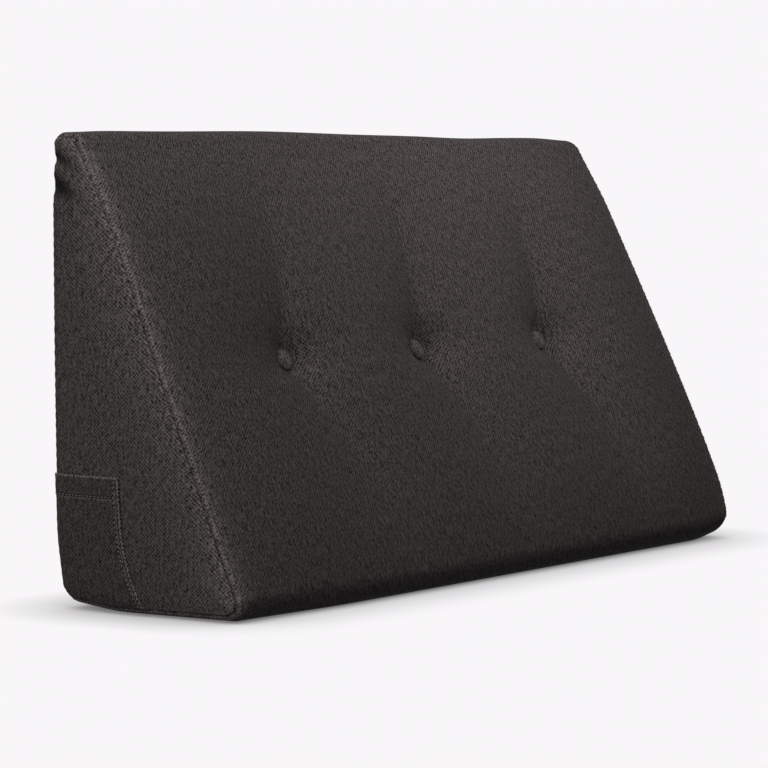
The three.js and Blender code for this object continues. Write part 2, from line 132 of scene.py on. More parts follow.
button_places = [(share - 0.5) * WIDTH for share in BUTTON_SHARES]
fine_heights = [slope_length - BUTTON_ROW] + [slope_length * fold["height"] / HEIGHT for fold in PINCH_FOLDS]
LINES = {
    "width": axis_lines(spread_stations(-0.484, 0.484, 0.0115, 0.0065, button_places, 0.030)),
    "depth": axis_lines(np.linspace(0, 1, 16)),
    "height": axis_lines(spread_stations(0.020, slope_length - 0.020, 0.0115, 0.0062, fine_heights, 0.035)),
}


def rounded_wedge(panel, first, second):
    """Grid of points on one panel of the wedge before it is filled, and their outward directions."""
    first_lines, second_lines = LINES[first], LINES[second]
    centre = np.zeros((len(first_lines), len(second_lines), 3))
    radius = np.zeros((len(first_lines), len(second_lines), 1))
    for first_end in (0, 1):
        for second_end in (0, 1):
            ends = {first: AXIS_ENDS[first][first_end], second: AXIS_ENDS[second][second_end]}
            key = tuple(ends.get(axis, panel) for axis in ("width", "depth", "height"))
            along_first = np.abs(1 - first_end - first_lines[:, 0])
            along_second = np.abs(1 - second_end - second_lines[:, 0])
            weight = (along_first[:, None] * along_second[None, :])[..., None]
            centre += weight * CORNERS[key][0]
            radius += weight * CORNERS[key][1]
    outward = np.zeros_like(centre) + PANEL_FACING[panel][0]
    for axis, turns, at in ((first, first_lines[:, 1], 0), (second, second_lines[:, 1], 1)):
        for end, side in ((0, -1), (1, 1)):
            neighbour = PANEL_FACING[AXIS_ENDS[axis][end]][0]
            lean = np.maximum(turns * side, 0)[:, None] * neighbour
            outward += lean[:, None, :] if at == 0 else lean[None, :, :]
    outward /= np.linalg.norm(outward, axis=-1, keepdims=True)
    return centre + radius * outward, outward


def smooth(value):
    share = np.clip(value, 0, 1)
    return share * share * (3 - 2 * share)


def bell(distance, spread):
    return np.exp(-((distance / spread) ** 2))


def eased(distance, length):
    """A distance that starts gently over the given length, then runs straight."""
    return np.hypot(distance, length) - length


def through_depth(place):
    """0 on the slope and 1 on the back."""
    level = np.clip(place[..., 2] / HEIGHT, 0, 1)
    slope_y = -DEPTH / 2 + (DEPTH - RIDGE_DEPTH) * level
    return np.clip((place[..., 1] - slope_y) / (DEPTH / 2 - slope_y), 0, 1)


def front_relief(x, down):
    """Height of the slope's cloth over the flat foam: its crown, less what the buttons pull in."""
    from_sides = smooth((WIDTH / 2 - PANEL_MARGIN - np.abs(x)) / PANEL_FADE)
    from_top = smooth((down - PANEL_MARGIN) / PANEL_FADE)
    from_bottom = smooth((slope_length - PANEL_MARGIN - down) / PANEL_FADE)
    rolled = smooth((WIDTH / 2 - PANEL_MARGIN - np.abs(x)) / EDGE_ROLL_REACH)
    relief = FRONT_CROWN * from_sides * np.sqrt(from_top * from_bottom)
    relief += EDGE_ROLL * rolled * np.sqrt(from_top * from_bottom)
    for place, depth, (reach_left, reach_right) in zip(button_places, TUFT_DEPTHS, TUFT_REACH):
        across, along = x - place, down - BUTTON_ROW
        from_row = eased(np.maximum(0, np.abs(along) - BUTTON_RADIUS), ROW_ROUND)
        aside = across - np.where(along < 0, LEAN_ABOVE, LEAN_BELOW) * from_row
        from_crease, from_rim = np.abs(aside), np.hypot(aside, along) - BUTTON_RADIUS
        nearest = (from_crease + from_rim - np.hypot(from_crease - from_rim, CREASE_ROUND)) / 2
        reach = np.where(aside < 0, reach_left, reach_right)
        flank = np.clip(1 - nearest / reach, 0, 1) ** TUFT_FULLNESS
        tuft = depth * np.exp(-from_row / np.where(along < 0, FADE_ABOVE, FADE_BELOW)) * flank
        beside = eased(np.maximum(0, nearest), DIMPLE_ROUND)
        tuft += DIMPLE_DEPTH * np.exp(-from_row / DIMPLE_FADE_ALONG - beside / DIMPLE_FADE_ACROSS)
        relief -= tuft * from_top * from_bottom * rolled
    return relief


def fill(panel, place):
    """Moves points of the flat-sided wedge to where the filling and the buttons hold the cloth."""
    soft = place.copy()
    if panel == "front":
        down = (place - ridge_front) @ slope_down
        soft += front_relief(place[..., 0], down)[..., None] * slope_normal
    through, level = through_depth(soft), np.clip(soft[..., 2] / HEIGHT, 0, 1)
    along = np.clip(soft[..., 0] / WIDTH + 0.5, 0, 1)
    peak = BOW_HEIGHT_LEFT + (BOW_HEIGHT_RIGHT - BOW_HEIGHT_LEFT) * along
    hump = np.sin(np.pi * level ** (np.log(0.5) / np.log(peak)))
    bow = BOW_LEFT + (BOW_RIGHT - BOW_LEFT) * along
    soft += (bow * hump * np.maximum(0, 1 - 1.3 * through))[..., None] * slope_normal
    through = through_depth(soft)
    swell = np.sin(np.pi * np.clip(soft[..., 2] / HEIGHT, 0, 1)) ** 0.7
    from_end = WIDTH / 2 - np.abs(soft[..., 0])
    end_fade = smooth(from_end / PANEL_FADE)
    soft[..., 1] += BACK_CROWN * swell * np.maximum(0, 1.3 * through - 0.3) * (0.4 + 0.6 * end_fade)
    deep = np.clip(1 - level * (1 - RIDGE_DEPTH / DEPTH), 0, 1)
    side_swell = SIDE_CROWN * deep * swell * (0.15 + 3.4 * through * (1 - through))
    side_swell *= smooth(1 - from_end / PANEL_FADE)
    soft[..., 0] += np.sign(soft[..., 0]) * side_swell
    through, from_back = through_depth(soft), DEPTH / 2 - soft[..., 1]
    near_end = smooth(1 - (WIDTH / 2 - np.abs(soft[..., 0])) / PINCH_FOLD_REACH)
    for fold in PINCH_FOLDS:
        line = fold["height"] - fold["droop"] * np.minimum(from_back, PINCH_FOLD_REACH)
        fade = smooth(1 - from_back / PINCH_FOLD_REACH) * near_end * (0.4 + 0.6 * through)
        soft[..., 0] -= np.sign(soft[..., 0]) * fold["depth"] * bell(soft[..., 2] - line, fold["spread"]) * fade
    near_ridge = smooth(1 - (HEIGHT - soft[..., 2]) / RIDGE_WAVE_REACH)
    for wave in RIDGE_WAVES:
        soft[..., 2] += wave["rise"] * bell(soft[..., 0] / WIDTH + 0.5 - wave["at"], wave["spread"]) * near_ridge
    ends = {
        "toe": np.array([0, -DEPTH / 2, 0]),
        "heel": np.array([0, DEPTH / 2, 0]),
        "ridge": np.array([0, DEPTH / 2 - RIDGE_DEPTH / 2, HEIGHT]),
    }
    start = soft.copy()
    for corner in DRAWN_CORNERS:
        tip = ends[corner["end"]] + np.array([corner["side"] * WIDTH / 2, 0, 0])
        pull = smooth(1 - np.linalg.norm(start - tip, axis=-1) / corner["reach"])
        step = np.array([-corner["side"] * corner["inward"], corner["across"], corner["upward"]])
        soft += pull[..., None] * step
    return soft


def strip_lengths(places):
    """Distance along the long panel's cloth, line by line, measured half way across its width."""
    middle = places[places.shape[0] // 2]
    steps = np.linalg.norm(np.diff(middle, axis=0), axis=1)
    return np.concatenate([[0], np.cumsum(steps)])


PANEL_GRIDS = {
    "front": ("width", "height", False), "back": ("width", "height", True),
    "base": ("width", "depth", True), "top": ("width", "depth", False),
    "left": ("depth", "height", True), "right": ("depth", "height", False),
}
flat_grids = {panel: rounded_wedge(panel, first, second)[0] for panel, (first, second, _) in PANEL_GRIDS.items()}
lengths = {panel: strip_lengths(flat_grids[panel]) for panel in ("front", "back", "base", "top")}
over_ridge = lengths["front"][-1]
over_back = over_ridge + lengths["top"][-1]
cloth_along = {
    "front": lengths["front"],
    "top": over_ridge + lengths["top"],
    "back": over_back + lengths["back"][-1] - lengths["back"],
    "base": -lengths["base"],
}

places, quads, cloth_uv = [], [], []
for panel, (first, second, flip) in PANEL_GRIDS.items():
    grid = flat_grids[panel]
    rows, columns = grid.shape[:2]
    if panel in cloth_along:
        weave = np.stack([grid[..., 0], np.broadcast_to(cloth_along[panel], (rows, columns))], axis=-1)
    else:
        weave = np.stack([grid[..., 1], grid[..., 2]], axis=-1)
    index = np.arange(rows * columns).reshape(rows, columns) + sum(len(part) for part in places)
    faces = np.stack([index[:-1, :-1], index[1:, :-1], index[1:, 1:], index[:-1, 1:]], axis=-1).reshape(-1, 4)
    corner_uv = np.stack([weave[:-1, :-1], weave[1:, :-1], weave[1:, 1:], weave[:-1, 1:]], axis=2).reshape(-1, 4, 2)
    if flip:
        faces, corner_uv = faces[:, ::-1], corner_uv[:, ::-1]
    places.append(np.concatenate([grid, fill(panel, grid)], axis=-1).reshape(-1, 6))
    quads.append(faces)
    cloth_uv.append(corner_uv)
places, quads, cloth_uv = np.concatenate(places), np.concatenate(quads), np.concatenate(cloth_uv)
WELD = 1e-5
_, kept, welded = np.unique(np.round(places[:, :3] / WELD + 0.37), axis=0, return_index=True, return_inverse=True)
flat_places, soft_places = places[kept, :3], places[kept, 3:]
quads = welded.reshape(-1)[quads]

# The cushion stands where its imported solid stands
solid_low, solid_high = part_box("wedge_cushion")
shift = np.array([solid_high[0] - soft_places[:, 0].max(), solid_high[1] - soft_places[:, 1].max(), 0])
soft_places = soft_places + shift


def mesh_object(name, points, faces, corner_uv):
    """A mesh with smooth faces and the cloth's own map, in metres of cloth."""
    mesh = bpy.data.meshes.new(name)
    mesh.from_pydata([tuple(point) for point in points], [], [tuple(int(i) for i in face) for face in faces])
    layer = mesh.uv_layers.new(name="cloth")
    layer.uv.foreach_set("vector", np.asarray(corner_uv, dtype=np.float32).reshape(-1))
    mesh.shade_smooth()
    made = bpy.data.objects.new(name, mesh)
    bpy.context.scene.collection.objects.link(made)
    return made


def points_of(mesh):
    found = np.empty(len(mesh.vertices) * 3, dtype=np.float32)
    mesh.vertices.foreach_get("co", found)
    return found.reshape(-1, 3).astype(float)


def set_points(mesh, points):
    mesh.vertices.foreach_set("co", np.asarray(points, dtype=np.float32).reshape(-1))
    mesh.update()


def applied(obj):
    """Puts the result of an object's modifiers into its mesh and removes them."""
    evaluated = obj.evaluated_get(bpy.context.evaluated_depsgraph_get())
    mesh = bpy.data.meshes.new_from_object(evaluated)
    obj.modifiers.clear()
    obj.data = mesh
    return obj


def tree_of(points):
    """A search tree that finds the number of the point nearest to a place."""
    tree = KDTree(len(points))
    for number, point in enumerate(points):
        tree.insert(point, number)
    tree.balance()
    return tree


cushion = mesh_object("padded_wedge", soft_places, quads, cloth_uv)

# Which points lie on the seams of a side panel: where its face turns half way to its neighbour
flat_tree, grid_seams = tree_of(flat_places), {}
for side in AXIS_ENDS["width"]:
    grid = flat_grids[side]
    loop = np.concatenate([grid[:, 0], grid[-1, 1:], grid[-2::-1, -1], grid[0, -2:0:-1]])
    grid_seams[side] = [flat_tree.find(point)[1] for point in loop]

# The form above is the padded one. A short simulation with a light pressure inside lets the
# cloth settle on it by about a millimetre at most: the foam holds it everywhere a little, and
# the seams, the base and the buttons hold it fast.
PRESSURE, SIM_FRAMES, MOST_MOVED, EDGE_SUPPORT, FOAM_SUPPORT = 3.0, 20, 0.006, 0.045, 0.22
button_seats = []
for place in button_places:
    flat = ridge_front + slope_down * BUTTON_ROW + np.array([place, 0, 0])
    button_seats.append(fill("front", flat[None, :])[0] + shift)


def fill_out(obj):
    start = points_of(obj.data)
    held = obj.vertex_groups.new(name="held")
    from_side = WIDTH / 2 - np.abs(flat_places[:, 0])
    down = (flat_places - ridge_front) @ slope_down
    from_edge = np.minimum.reduce([from_side, HEIGHT - flat_places[:, 2], flat_places[:, 2], down])
    for number, share in enumerate(FOAM_SUPPORT + (1 - FOAM_SUPPORT) * smooth(1 - from_edge / EDGE_SUPPORT)):
        held.add([number], float(share), "REPLACE")
    for seat in button_seats:
        near = np.flatnonzero(np.linalg.norm(start - seat, axis=1) < BUTTON_RADIUS)
        held.add([int(number) for number in near], 1.0, "REPLACE")
    cloth = obj.modifiers.new("filling", "CLOTH")
    settings = cloth.settings
    settings.quality = 5
    settings.mass = 0.35
    settings.tension_stiffness = 25
    settings.compression_stiffness = 12
    settings.shear_stiffness = 6
    settings.bending_stiffness = 3
    settings.use_pressure = True
    settings.uniform_pressure_force = PRESSURE
    settings.vertex_group_mass = "held"
    settings.effector_weights.gravity = 0
    cloth.collision_settings.use_collision = False
    cloth.point_cache.frame_start = 1
    cloth.point_cache.frame_end = SIM_FRAMES
    for number in range(1, SIM_FRAMES + 1):
        bpy.context.scene.frame_set(number)
    evaluated = obj.evaluated_get(bpy.context.evaluated_depsgraph_get())
    moved = points_of(evaluated.data) - start
    reach = np.linalg.norm(moved, axis=1, keepdims=True)
    obj.modifiers.clear()
    obj.vertex_groups.clear()
    bpy.context.scene.frame_set(1)
    soft = start + moved * np.minimum(1, MOST_MOVED / np.maximum(reach, 1e-9))
    soft[:, 2] = np.maximum(soft[:, 2], 0)
    set_points(obj.data, soft)


fill_out(cushion)
held_points = points_of(cushion.data)
seam_lines = {side: held_points[loop] for side, loop in grid_seams.items()}
rounder = cushion.modifiers.new("rounder", "SUBSURF")
rounder.levels = rounder.render_levels = 1
rounder.uv_smooth = "NONE"
applied(cushion)

# Each seam pulls a fine groove between two low lips, and puckers a little along its stitches
SEAM_GROOVE, SEAM_GROOVE_WIDTH = 0.0020, 0.0017
SEAM_LIP, SEAM_LIP_FROM, SEAM_LIP_WIDTH = 0.0006, 0.0042, 0.0022
SEAM_STEP, ROW_OFFSET, ROW_ASIDE, ROW_GROOVE, ROW_GROOVE_WIDTH = 0.001, 0.0065, 0.86, 0.0007, 0.0016
PUCKER, PUCKER_LENGTH, PUCKER_REACH = 0.00035, 0.011, 0.014


def even_line(points, step, closed=True):
    """The same line with points a step apart, and the distance along it at each."""
    line = np.concatenate([points, points[:1]]) if closed else points
    lengths = np.concatenate([[0], np.cumsum(np.linalg.norm(np.diff(line, axis=0), axis=1))])
    count = max(2, int(round(lengths[-1] / step)))
    at = np.linspace(0, lengths[-1], count, endpoint=not closed)
    return np.stack([np.interp(at, lengths, line[:, k]) for k in range(3)], axis=1), at


def normals_of(mesh):
    found = np.empty(len(mesh.vertices) * 3, dtype=np.float32)
    mesh.vertices.foreach_get("normal", found)
    return found.reshape(-1, 3).astype(float)


def press_line(mesh, line, along, shape, reach):
    """Moves the points near a line along their normals by shape(distance, distance along)."""
    tree = tree_of(line)
    points, normals = points_of(mesh), normals_of(mesh)
    low, high = line.min(axis=0) - reach, line.max(axis=0) + reach
    near = np.flatnonzero(np.all((points > low) & (points < high), axis=1))
    for number in near:
        _, found, distance = tree.find(points[number])
        if distance < reach:
            points[number] += normals[number] * shape(distance, along[found])
    set_points(mesh, points)


def seam_shape(distance, at):
    groove = -SEAM_GROOVE * math.exp(-((distance / SEAM_GROOVE_WIDTH) ** 2))
    lip = SEAM_LIP * math.exp(-(((distance - SEAM_LIP_FROM) / SEAM_LIP_WIDTH) ** 2))
    fade = max(0.0, 1 - distance / PUCKER_REACH)
    wave = math.sin(2 * math.pi * at / PUCKER_LENGTH + 1.7 * math.sin(at * 31.0))
    return groove + lip + PUCKER * wave * fade


def row_shape(distance, at):
    return -ROW_GROOVE * math.exp(-((distance / ROW_GROOVE_WIDTH) ** 2))


def surface_of(obj):
    graph = bpy.context.evaluated_depsgraph_get()
    return BVHTree.FromObject(obj, graph)


surface = surface_of(cushion)
stitch_rows = {}
for side, seam in seam_lines.items():
    line, along = even_line(seam, SEAM_STEP)
    inward = 1 if side == "left" else -1
    row = []
    for point in line:
        near = Vector(point) + Vector((inward * ROW_OFFSET * ROW_ASIDE, 0, 0))
        row.append(surface.find_nearest(near)[0])
    stitch_rows[side] = np.array([tuple(point) for point in row])
    press_line(cushion.data, line, along, seam_shape, PUCKER_REACH)
    press_line(cushion.data, stitch_rows[side], along, row_shape, 3 * ROW_GROOVE_WIDTH)
flat_points = points_of(cushion.data)
flat_points[:, 2] = np.maximum(flat_points[:, 2], 0)
set_points(cushion.data, flat_points)


def linear(hex_colour):
    """An sRGB hex colour as the linear colour that the nodes take."""
    parts = [int(hex_colour[at:at + 2], 16) / 255 for at in (1, 3, 5)]
    return (*[part / 12.92 if part <= 0.04045 else ((part + 0.055) / 1.055) ** 2.4 for part in parts], 1.0)


def add(tree, kind, sockets=None, **settings):
    """Adds a node with its settings; sockets gives its inputs a value or another node's output."""
    node = tree.nodes.new(kind)
    for name, value in settings.items():
        setattr(node, name, value)
    for name, value in (sockets or {}).items():
        if isinstance(value, bpy.types.NodeSocket):
            tree.links.new(value, node.inputs[name])
        else:
            node.inputs[name].default_value = value
    return node


# Linen-look upholstery cloth in a close basket weave: charcoal yarns with mid grey ones among
# them. From a step away it reads as a dense pepper of light grey on near black, in faint slanting
# rows that cross each other, with thicker and paler yarns here and there, and no gloss.
# Such yarns usually lie about 1 mm apart, too fine for the picture, so the pattern is coarser:
# its rows are 3 mm apart and its streaks 1.9 mm wide.
ROW_PITCH, ROW_SLANT, ROW_BEND = 0.0030, math.radians(46), 3.0
ROW_SHARES, SLUB_SHARE, DARKEST_YARN, PALEST_YARN = (0.20, 0.17), 0.55, 0.72, 1.22
STREAK_LENGTH, STREAK_WIDTH, SLUB_LENGTH, SLUB_WIDTH = 0.0040, 0.0019, 0.0120, 0.0026
WAVE_PERIOD = 2 * math.pi / 20  # of Blender's wave texture at scale 1


def woven_cloth(name, dark, light):
    made = bpy.data.materials.new(name)
    made.use_nodes = True
    tree = made.node_tree
    tree.nodes.clear()
    cloth_map = add(tree, "ShaderNodeUVMap", uv_map="cloth").outputs["UV"]
    turned, rows = [], []
    for slant in (ROW_SLANT, -ROW_SLANT):
        place = add(tree, "ShaderNodeMapping", {"Vector": cloth_map, "Rotation": (0, 0, slant)}).outputs["Vector"]
        turned.append(place)
        rows.append(add(tree, "ShaderNodeTexWave", {
            "Vector": place, "Scale": WAVE_PERIOD / ROW_PITCH, "Distortion": ROW_BEND, "Detail": 1.0,
            "Detail Scale": 1.2, "Detail Roughness": 0.6,
        }, wave_type="BANDS", bands_direction="X").outputs["Fac"])
    along = add(tree, "ShaderNodeMapping", {
        "Vector": turned[0], "Scale": (1 / STREAK_WIDTH, 1 / STREAK_LENGTH, 1),
    }).outputs["Vector"]
    lengthways = add(tree, "ShaderNodeMapping", {
        "Vector": cloth_map, "Scale": (1 / SLUB_WIDTH, 1 / SLUB_LENGTH, 1),
    }).outputs["Vector"]
    streaks = add(tree, "ShaderNodeTexNoise", {"Vector": along, "Scale": 1.0, "Detail": 2.0}).outputs["Fac"]
    slubs = add(tree, "ShaderNodeTexNoise", {"Vector": lengthways, "Scale": 1.0, "Detail": 1.0}).outputs["Fac"]
    yarns = streaks
    for part, share in zip((*rows, slubs), (*ROW_SHARES, SLUB_SHARE)):
        yarns = add(tree, "ShaderNodeMath", {0: part, 1: share, 2: yarns}, operation="MULTIPLY_ADD").outputs[0]
    paleness = add(tree, "ShaderNodeMapRange", {
        "Value": yarns, "From Min": DARKEST_YARN, "From Max": PALEST_YARN,
    }).outputs["Result"]
    colour = add(tree, "ShaderNodeMix", {0: paleness, 6: linear(dark), 7: linear(light)}, data_type="RGBA").outputs[2]
    # Painted light and shade, kept per point, raise or lower the cloth's value
    painted_light = add(tree, "ShaderNodeAttribute", attribute_name="painted_light").outputs["Fac"]
    lift = add(tree, "ShaderNodeMath", {0: painted_light, 1: 1.0}, operation="ADD").outputs[0]
    toned = add(tree, "ShaderNodeHueSaturation", {"Color": colour, "Value": lift}).outputs["Color"]
    bump = add(tree, "ShaderNodeBump", {"Height": yarns, "Strength": 0.5, "Distance": 0.0006})
    shader = add(tree, "ShaderNodeBsdfPrincipled", {
        "Base Color": toned, "Roughness": 0.95, "IOR": 1.46, "Normal": bump.outputs["Normal"],
        "Specular IOR Level": 0.10,
    })
    add(tree, "ShaderNodeOutputMaterial", {"Surface": shader.outputs["BSDF"]})
    return made


# Painted light in the cloth's tone: a painted highlight beside the seams, widely along the slope's
# seams and in a thin line along the others. The gap of a seam, the holes of a stitch row and the pinch
# folds are darker than the mesh can shade them, so a part of their shade is painted shade as well.
PALE_LONG_PANEL, PALE_LONG_REACH, PALE_SIDE_PANEL, PALE_SIDE_REACH = 0.47, 0.019, 0.24, 0.045
PALE_LINE, PALE_LINE_FROM, PALE_LINE_WIDTH, SEAM_SHADE, SEAM_SHADE_WIDTH = 0.55, 0.0032, 0.0012, 1.15, 0.0017
ROW_SHADE, ROW_SHADE_WIDTH, FOLD_SHADE, FOLD_SHADE_RISE = 0.40, 0.0014, 0.78, 0.005
SEAM_REACH, ON_SLOPE, BASE_CLEAR, BASE_FADE, DARKEST_TONE = 0.080, 0.2, 0.004, 0.02, -0.9
FOLD_SHADE_SPREAD = 1.4
# The side panels' cloth is toned down by a third, more along the back seam. The strong light
# from the left that brings out the creases would otherwise make them too pale: it is the
# light's balance, and not a property of the cloth.
SIDE_PANEL_TONE, SIDE_TONE_REACH = -0.34, 0.008
BACK_EDGE_TONE, BACK_EDGE_WIDTH, BACK_EDGE_REACH = -0.30, 0.009, 0.012


def nearest_on(line, points):
    """For each point, the number of the nearest point of the line and how far away it is."""
    tree = tree_of(line)
    found = [tree.find(point) for point in points]
    return np.array([number for _, number, _ in found]), np.array([distance for _, _, distance in found])


def mark_painted_light(mesh):
    # Each point's painted shade and painted highlight, kept in the attribute that the cloth reads
    points = points_of(mesh)
    from_end = WIDTH / 2 - np.abs(points[:, 0])
    tone = SIDE_PANEL_TONE * smooth(1 - from_end / SIDE_TONE_REACH)
    from_back = DEPTH / 2 + shift[1] - points[:, 1]
    tone += BACK_EDGE_TONE * bell(from_back, BACK_EDGE_WIDTH) * smooth(1 - from_end / BACK_EDGE_REACH)
    for fold in PINCH_FOLDS:
        line = fold["height"] - fold["droop"] * np.minimum(from_back, PINCH_FOLD_REACH)
        fade = smooth(1 - from_back / PINCH_FOLD_REACH) * smooth(1 - from_end / PINCH_FOLD_REACH)
        above = points[:, 2] - line - FOLD_SHADE_RISE
        tone -= FOLD_SHADE * bell(above, FOLD_SHADE_SPREAD * fold["spread"]) * fade
    for side, seam in seam_lines.items():
        line = even_line(seam, SEAM_STEP)[0]
        on_slope = smooth(1 - through_depth(line - shift) / ON_SLOPE)
        on_slope *= smooth((line[:, 2] - BASE_CLEAR) / BASE_FADE)
        outwards = -1 if side == "left" else 1
        near = np.flatnonzero(points[:, 0] * outwards > WIDTH / 2 - SEAM_REACH)
        index, distance = nearest_on(line, points[near])
        inside = (points[near, 0] - line[index, 0]) * outwards < 0
        broad = np.where(inside, PALE_LONG_PANEL * bell(distance, PALE_LONG_REACH),
                         PALE_SIDE_PANEL * bell(distance, PALE_SIDE_REACH))
        tone[near] += broad * on_slope[index] + PALE_LINE * bell(distance - PALE_LINE_FROM, PALE_LINE_WIDTH)
        tone[near] -= SEAM_SHADE * bell(distance, SEAM_SHADE_WIDTH)
        tone[near] -= ROW_SHADE * bell(nearest_on(stitch_rows[side], points[near])[1], ROW_SHADE_WIDTH)
    tone = np.maximum(tone, DARKEST_TONE).astype(np.float32)
    mesh.attributes.new("painted_light", "FLOAT", "POINT").data.foreach_set("value", tone)


cover_cloth = woven_cloth("woven_linen_look_cloth", "#1e1b1b", "#665f5e")
mark_painted_light(cushion.data)
cushion.data.materials.clear()
cushion.data.materials.append(cover_cloth)
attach(cushion, "root")
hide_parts("wedge_cushion")

# Topstitching: a single row of matt polyester thread round each side panel, sewn through
# the long panel and its seam allowance, a few millimetres from the seam.
STITCH_LENGTH, STITCH_PITCH, STITCH_WIDTH, STITCH_PROUD = 0.0036, 0.0050, 0.0011, 0.0005
FIBRES_PER_METRE = 1400.0


def stitch_tree(material):
    """Lays one stitch at each pitch along a line, lengthways, with its face along 'out'."""
    tree = bpy.data.node_groups.new("row_of_stitches", "GeometryNodeTree")
    tree.interface.new_socket("Geometry", in_out="INPUT", socket_type="NodeSocketGeometry")
    for name in ("Stitch length", "Stitch pitch", "Stitch width"):
        tree.interface.new_socket(name, in_out="INPUT", socket_type="NodeSocketFloat")
    tree.interface.new_socket("Geometry", in_out="OUTPUT", socket_type="NodeSocketGeometry")
    given = add(tree, "NodeGroupInput")
    curve = add(tree, "GeometryNodeMeshToCurve", {"Mesh": given.outputs["Geometry"]})
    even = add(tree, "GeometryNodeResampleCurve", {
        "Curve": curve.outputs["Curve"], "Length": given.outputs["Stitch pitch"],
    }, mode="LENGTH")
    body = add(tree, "GeometryNodeMeshUVSphere", {"Segments": 8, "Rings": 6, "Radius": 0.5})
    size = add(tree, "ShaderNodeCombineXYZ", {
        "X": given.outputs["Stitch length"], "Y": given.outputs["Stitch width"], "Z": given.outputs["Stitch width"],
    })
    sized = add(tree, "GeometryNodeTransform", {"Geometry": body.outputs["Mesh"], "Scale": size.outputs["Vector"]})
    tangent = add(tree, "GeometryNodeInputTangent")
    out = add(tree, "GeometryNodeInputNamedAttribute", {"Name": "out"}, data_type="FLOAT_VECTOR")
    faced = add(tree, "FunctionNodeAlignRotationToVector", {"Vector": out.outputs["Attribute"]}, axis="Z")
    along = add(tree, "FunctionNodeAlignRotationToVector", {
        "Rotation": faced.outputs["Rotation"], "Vector": tangent.outputs["Tangent"],
    }, axis="X", pivot_axis="Z")
    placed = add(tree, "GeometryNodeInstanceOnPoints", {
        "Points": even.outputs["Curve"], "Instance": sized.outputs["Geometry"], "Rotation": along.outputs["Rotation"],
    })
    real = add(tree, "GeometryNodeRealizeInstances", {"Geometry": placed.outputs["Instances"]})
    painted = add(tree, "GeometryNodeSetMaterial", {"Geometry": real.outputs["Geometry"], "Material": material})
    smoothed = add(tree, "GeometryNodeSetShadeSmooth", {"Geometry": painted.outputs["Geometry"]})
    add(tree, "NodeGroupOutput", {"Geometry": smoothed.outputs["Geometry"]})
    return tree


def thread_material(name, colour):
    """Matt spun polyester thread: a grey, slightly fuzzy cord with no gloss."""
    made = bpy.data.materials.new(name)
    made.use_nodes = True
    tree = made.node_tree
    tree.nodes.clear()
    place = add(tree, "ShaderNodeTexCoord").outputs["Object"]
    fibres = add(tree, "ShaderNodeTexNoise", {
        "Vector": place, "Scale": FIBRES_PER_METRE, "Detail": 1.0,
    }).outputs["Fac"]
    shade = add(tree, "ShaderNodeMapRange", {"Value": fibres, "To Min": 0.75, "To Max": 1.25}).outputs["Result"]
    tint = add(tree, "ShaderNodeHueSaturation", {"Color": linear(colour), "Value": shade}).outputs["Color"]
    shader = add(tree, "ShaderNodeBsdfPrincipled", {"Base Color": tint, "Roughness": 0.8, "Specular IOR Level": 0.25})
    add(tree, "ShaderNodeOutputMaterial", {"Surface": shader.outputs["BSDF"]})
    return made


thread = thread_material("spun_polyester_thread", "#676160")
stitching = stitch_tree(thread)


def sew(name, rows, carrier, closed):
    """Sews rows of stitches on the carrier's surface, as one plain mesh."""
    surface = surface_of(carrier)
    path = bpy.data.meshes.new(name)
    points, edges, outs = [], [], []
    for row in rows:
        first = len(points)
        for point in row:
            found, normal, _, _ = surface.find_nearest(Vector(point))
            points.append(found + normal * (STITCH_PROUD - STITCH_WIDTH / 2))
            outs.append(normal)
        edges += [(number, number + 1) for number in range(first, len(points) - 1)]
        if closed:
            edges.append((len(points) - 1, first))
    path.from_pydata(points, edges, [])
    out = path.attributes.new("out", "FLOAT_VECTOR", "POINT")
    out.data.foreach_set("vector", np.array(outs, dtype=np.float32).reshape(-1))
    made = bpy.data.objects.new(name, path)
    bpy.context.scene.collection.objects.link(made)
    modifier = made.modifiers.new("stitches", "NODES")
    modifier.node_group = stitching
    sizes = {"Stitch length": STITCH_LENGTH, "Stitch pitch": STITCH_PITCH, "Stitch width": STITCH_WIDTH}
    for item in stitching.interface.items_tree:
        if item.in_out == "INPUT" and item.name in sizes:
            modifier[item.identifier] = sizes[item.name]
    applied(made)
    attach(made, "root")
    return made


sew("topstitching", stitch_rows.values(), cushion, closed=True)

# Patch pocket on the left side panel, of the cover's own cloth: its back and bottom edges
# are caught in the seams, its front edge is turned in and sewn down with two rows, and its
# open top edge is turned in 21 mm as a hem.
POCKET_TOP, POCKET_HEM = 0.143, 0.021
POCKET_FRONT = [(0.0, 0.128), (0.040, 0.112), (0.064, 0.1055), (0.085, 0.102), (0.143, 0.099)]
POCKET_CLOTH, POCKET_HEM_CLOTH, CLOTH_GAP = 0.0014, 0.0026, 0.0004
POCKET_SLACK, POCKET_GAPE, POCKET_FOLD_BACK = 0.0012, 0.0010, 0.007
POCKET_FOOT, SEAM_CLEAR, FOLD_STEP, GAPE_REACH = 0.008, 0.0006, 0.0016, 0.03
IN_SEAM, POCKET_TAPER, POCKET_SHADE, POCKET_DARKEST = 0.3, 0.008, -0.46, -0.85
